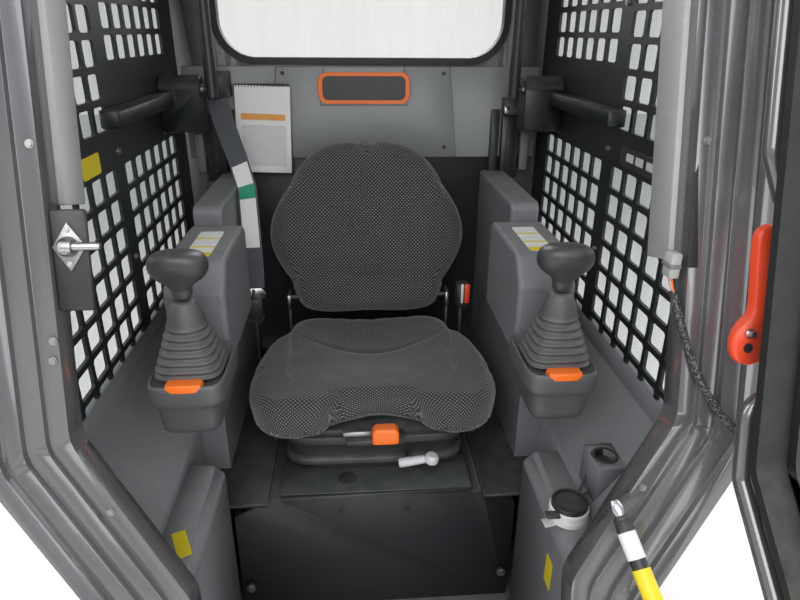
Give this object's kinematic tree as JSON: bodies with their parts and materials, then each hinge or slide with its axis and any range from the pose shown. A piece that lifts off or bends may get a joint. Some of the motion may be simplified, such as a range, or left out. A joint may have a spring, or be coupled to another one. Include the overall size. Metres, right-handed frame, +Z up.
{
  "type": "skid steer loader operator cab",
  "caption": "Operator cab of a skid steer loader: ribbed front portal with open glazed door on a gas strut, suspension seat, overhead seat bar and punched side screens.",
  "frame": {"origin": "centre plane, underside of the floor frame, midway between the portal's foot and the rear frame", "axes": "+X to the operator's left, +Y to the rear, +Z up"},
  "size_m": [1.0578, 2.1086, 1.7968],
  "materials": {
    "frame_grey": "satin dark grey paint",
    "shell_beige": "light grey moulded plastic",
    "panel_grey": "mid grey moulded lining",
    "black_plastic": "black moulded plastic",
    "rubber_black": "black rubber",
    "window_glass": "clear glass",
    "seat_fabric": "black seat cloth",
    "belt_webbing": "dark blue-grey webbing",
    "door_black": "satin black paint",
    "rod_steel": "polished rod",
    "lever_red": "red plastic"
  },
  "bodies": {
    "cab": {"front_portal": "frame_grey", "floor_frame": "frame_grey", "rear_frame": "frame_grey", "rear_window_seal": "rubber_black", "rear_window_glass": "window_glass", "roof_panel": "frame_grey", "back_panel_centre": "panel_grey", "back_panel_left": "shell_beige", "back_panel_right": "shell_beige", "back_panel_lower": "panel_grey", "seat_box": "panel_grey", "seat_suspension": "black_plastic", "weight_lever": "door_black", "belt_retractor": "black_plastic", "belt_strap": "belt_webbing", "belt_buckle": "black_plastic", "document_holder": "black_plastic", "door_striker": "frame_grey", "washer_neck": "black_plastic", "cup_holder": "black_plastic", "side_wall_left": "frame_grey", "side_wall_right": "frame_grey", "side_screen_left": "frame_grey", "side_screen_right": "frame_grey", "side_glass_left": "window_glass", "side_glass_right": "window_glass", "console_left": "shell_beige", "console_right": "shell_beige", "control_pod_left": "black_plastic", "control_pod_right": "black_plastic", "joystick_boot_left": "rubber_black", "joystick_boot_right": "rubber_black", "joystick_left": "black_plastic", "joystick_right": "black_plastic", "pillar_cover_left": "shell_beige", "pillar_cover_right": "shell_beige", "bar_pivot_left": "black_plastic", "bar_pivot_right": "black_plastic", "footwell_lining_left": "panel_grey", "footwell_lining_right": "panel_grey"},
    "seat": {"seat_pan": "black_plastic", "seat_cushion": "seat_fabric", "slide_lever": "door_black"},
    "seat_back": {"seat_backrest": "seat_fabric", "backrest_shell": "black_plastic"},
    "seat_bar": {"seat_bar_tube": "door_black"},
    "door": {"door_frame": "door_black", "door_glass": "window_glass", "door_seal": "rubber_black", "door_rails": "door_black", "red_lever": "lever_red"},
    "strut_tube": {"strut_tube": "door_black"},
    "strut_rod": {"strut_rod": "rod_steel"}
  },
  "joints": [
    {"name": "door_hinge", "type": "hinge", "parent": "cab", "child": "door", "pos_m": [0.47, -0.49506, 0.99596], "axis": [0, 0.2284, 0.9736], "range_deg": [-95, 0]},
    {"name": "strut_swing", "type": "hinge", "parent": "cab", "child": "strut_tube", "pos_m": [0.308, -0.51163, 0.61877], "axis": [0.8153, 0.4859, -0.315], "range_deg": [0, 43.79]},
    {"name": "strut_slide", "type": "slide", "parent": "strut_tube", "child": "strut_rod", "axis": [-0.2037, 0.7499, 0.6295], "range_m": [0, 0.11447]},
    {"name": "seat_bar_hinge", "type": "hinge", "parent": "cab", "child": "seat_bar", "pos_m": [0, 0.34, 1.079], "axis": [1, 0, 0], "range_deg": [0, 118]},
    {"name": "seat_slide", "type": "slide", "parent": "cab", "child": "seat", "axis": [0, 1, 0], "range_m": [-0.09, 0.012]},
    {"name": "backrest_fold", "type": "hinge", "parent": "seat", "child": "seat_back", "pos_m": [0, 0.292, 0.592], "axis": [1, 0, 0], "range_deg": [0, 40]}
  ],
  "couplings": [
    {"joint": "strut_swing", "follows": "door_hinge", "ratio": -0.46098},
    {"joint": "strut_slide", "follows": "door_hinge", "m_per_rad": -0.069037}
  ]
}
